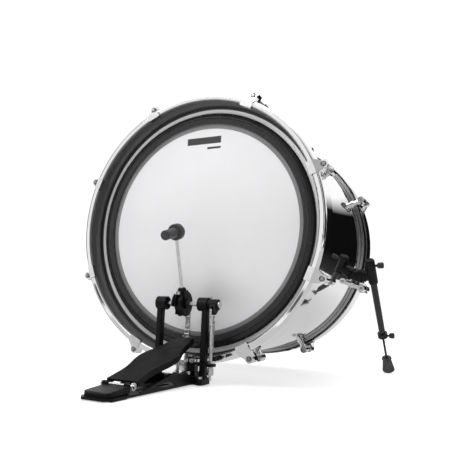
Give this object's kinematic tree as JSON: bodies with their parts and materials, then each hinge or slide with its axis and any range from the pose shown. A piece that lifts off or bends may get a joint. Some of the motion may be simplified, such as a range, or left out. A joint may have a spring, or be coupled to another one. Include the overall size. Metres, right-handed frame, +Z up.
{
  "type": "bass drum",
  "caption": "Bass drum lying on its side with claw-tensioned hoops, folding spurs, a damping ring on the batter head and a clamped-on kick pedal.",
  "frame": {"origin": "on the floor, at the middle of the whole assembly's bounding box", "axes": "+X to the player's right, +Y away from the player along the drum's axis, +Z up"},
  "size_m": [0.697, 0.8246, 0.618],
  "materials": {
    "shell_wood": "clear satin lacquer on maple-coloured ply, inside only",
    "shell_chrome": "mirror-polished bright metal over the wooden shell",
    "hoop_chrome": "mirror-polished bright plated sheet",
    "hardware_chrome": "polished plated castings",
    "head_film": "frosted white film with a fine pebbled coat",
    "flesh_hoop_metal": "plain rolled section",
    "ring_grey": "smooth light-grey film",
    "foam_grey": "fine open-cell foam, charcoal",
    "ring_black": "semi-gloss black moulding",
    "rod_steel": "plated steel",
    "spur_black": "satin black",
    "spur_dark_chrome": "dark polished plating",
    "foot_rubber": "matt rubber",
    "knob_plastic": "satin black moulding",
    "pedal_black": "satin black powder coat",
    "board_black": "smooth satin black powder coat",
    "pedal_silver": "bright plated steel",
    "clamp_silver": "satin plated steel",
    "pad_rubber": "matt rubber",
    "chain_steel": "plated chain",
    "spring_steel": "plated spring wire",
    "rod_chrome": "polished rod",
    "beater_felt": "dense dark felt, pressed and dyed"
  },
  "bodies": {
    "drum": {"shell": "shell_wood", "shell_wrap": "shell_chrome", "vent_grommet": "hardware_chrome", "batter_hoop": "hoop_chrome", "reso_hoop": "hoop_chrome", "batter_head": "head_film", "reso_head": "head_film", "batter_flesh_hoop": "flesh_hoop_metal", "reso_flesh_hoop": "flesh_hoop_metal", "damping_ring_base": "ring_grey", "damping_foam_ring": "foam_grey", "foam_retaining_ring": "ring_black", "batter_claws": "hardware_chrome", "reso_claws": "hardware_chrome", "batter_tension_rods": "rod_steel", "reso_tension_rods": "rod_steel", "rod_washers": "rod_steel", "lugs": "hardware_chrome", "lug_screws": "rod_steel", "spur_brackets": "spur_black", "spur_pivot_bolts": "rod_steel", "pedal_base": "pedal_black", "pedal_frame": "pedal_black", "axle_bearings": "pedal_silver", "pedal_pads": "pad_rubber", "heel_plate": "pedal_black", "heel_hinge_pin": "pedal_silver", "tension_spring": "spring_steel", "spring_rod": "pedal_silver", "clamp_pin": "clamp_silver", "anchor_screws": "pedal_silver"},
    "footboard": {"footboard": "board_black", "toe_clevis": "pedal_silver"},
    "chain": {"chain_run": "chain_steel"},
    "axle": {"axle": "pedal_silver", "beater_hub": "pedal_black", "lock_screws": "pedal_silver", "chain_cam": "pedal_black", "cam_chain": "chain_steel", "rocker": "pedal_black"},
    "beater": {"beater_rod": "rod_chrome", "beater_head": "beater_felt"},
    "spring_hook": {"spring_hook": "pedal_silver"},
    "spring_nut": {"spring_nut": "pedal_silver"},
    "clamp_jaw": {"clamp_jaw": "clamp_silver"},
    "clamp_screw": {"clamp_screw": "clamp_silver"},
    "spur_right": {"spur_sleeve_right": "spur_black", "spur_tube_right": "spur_dark_chrome", "spur_collar_right": "spur_dark_chrome"},
    "spur_end_right": {"spur_rod_right": "spur_dark_chrome", "spur_foot_right": "foot_rubber"},
    "sleeve_knob_right": {"sleeve_knob_right": "knob_plastic"},
    "collar_knob_right": {"collar_knob_right": "knob_plastic"},
    "spur_left": {"spur_sleeve_left": "spur_black", "spur_tube_left": "spur_dark_chrome", "spur_collar_left": "spur_dark_chrome"},
    "spur_end_left": {"spur_rod_left": "spur_dark_chrome", "spur_foot_left": "foot_rubber"},
    "sleeve_knob_left": {"sleeve_knob_left": "knob_plastic"},
    "collar_knob_left": {"collar_knob_left": "knob_plastic"}
  },
  "joints": [
    {"name": "footboard_hinge", "type": "hinge", "parent": "drum", "child": "footboard", "pos_m": [0, -0.3453, 0.019], "axis": [-1, 0, 0], "range_deg": [0, 3.34]},
    {"name": "axle_turn", "type": "hinge", "parent": "drum", "child": "axle", "pos_m": [0, -0.1403, 0.158], "axis": [-1, 0, 0], "range_deg": [0, 34.5], "stiffness_Nm_per_rad": 0.9, "springref_deg": -34.38},
    {"name": "chain_swing", "type": "hinge", "parent": "footboard", "child": "chain", "pos_m": [0, -0.1183, 0.088], "axis": [1, 0, 0], "range_deg": [0, 6.7]},
    {"name": "beater_height", "type": "slide", "parent": "axle", "child": "beater", "axis": [0, -0.3024, 0.9532], "range_m": [0, 0.012]},
    {"name": "spring_stretch", "type": "slide", "parent": "drum", "child": "spring_hook", "axis": [0, 0, 1], "range_m": [0, 0.0083], "deforming": ["tension_spring"]},
    {"name": "spring_nut_turn", "type": "hinge", "parent": "drum", "child": "spring_nut", "pos_m": [0.074, -0.1503, 0.03], "axis": [0, 0, 1], "continuous": true},
    {"name": "clamp_screw_turn", "type": "hinge", "parent": "drum", "child": "clamp_screw", "pos_m": [0, -0.1493, 0.02], "axis": [0, 0, 1], "range_deg": [0, 720]},
    {"name": "clamp_jaw_lift", "type": "hinge", "parent": "drum", "child": "clamp_jaw", "pos_m": [0, -0.1313, 0.019], "axis": [1, 0, 0], "range_deg": [0, 6]},
    {"name": "spur_fold_right", "type": "hinge", "parent": "drum", "child": "spur_right", "pos_m": [0.31, 0.2447, 0.246], "axis": [-1, 0, 0], "range_deg": [0, 120]},
    {"name": "spur_extend_right", "type": "slide", "parent": "spur_right", "child": "spur_end_right", "axis": [0.0512, 0.5446, -0.8371], "range_m": [-0.045, 0.08]},
    {"name": "sleeve_knob_turn_right", "type": "hinge", "parent": "spur_right", "child": "sleeve_knob_right", "pos_m": [0.32354, 0.22945, 0.27035], "axis": [0.9981, 0, 0.0611], "continuous": true},
    {"name": "collar_knob_turn_right", "type": "hinge", "parent": "spur_right", "child": "collar_knob_right", "pos_m": [0.33402, 0.34094, 0.099], "axis": [0.9981, 0, 0.0611], "continuous": true},
    {"name": "spur_fold_left", "type": "hinge", "parent": "drum", "child": "spur_left", "pos_m": [-0.31, 0.2447, 0.246], "axis": [-1, 0, 0], "range_deg": [0, 120]},
    {"name": "spur_extend_left", "type": "slide", "parent": "spur_left", "child": "spur_end_left", "axis": [-0.0512, 0.5446, -0.8371], "range_m": [-0.045, 0.08]},
    {"name": "sleeve_knob_turn_left", "type": "hinge", "parent": "spur_left", "child": "sleeve_knob_left", "pos_m": [-0.32354, 0.22945, 0.27035], "axis": [-0.9981, 0, 0.0611], "continuous": true},
    {"name": "collar_knob_turn_left", "type": "hinge", "parent": "spur_left", "child": "collar_knob_left", "pos_m": [-0.33402, 0.34094, 0.099], "axis": [-0.9981, 0, 0.0611], "continuous": true}
  ],
  "couplings": [
    {"joint": "axle_turn", "follows": "footboard_hinge", "ratio": 10.32},
    {"joint": "chain_swing", "follows": "footboard_hinge", "ratio": 2},
    {"joint": "spring_stretch", "follows": "footboard_hinge", "m_per_rad": 0.1407},
    {"joint": "clamp_jaw_lift", "follows": "clamp_screw_turn", "ratio": 0.008333}
  ]
}
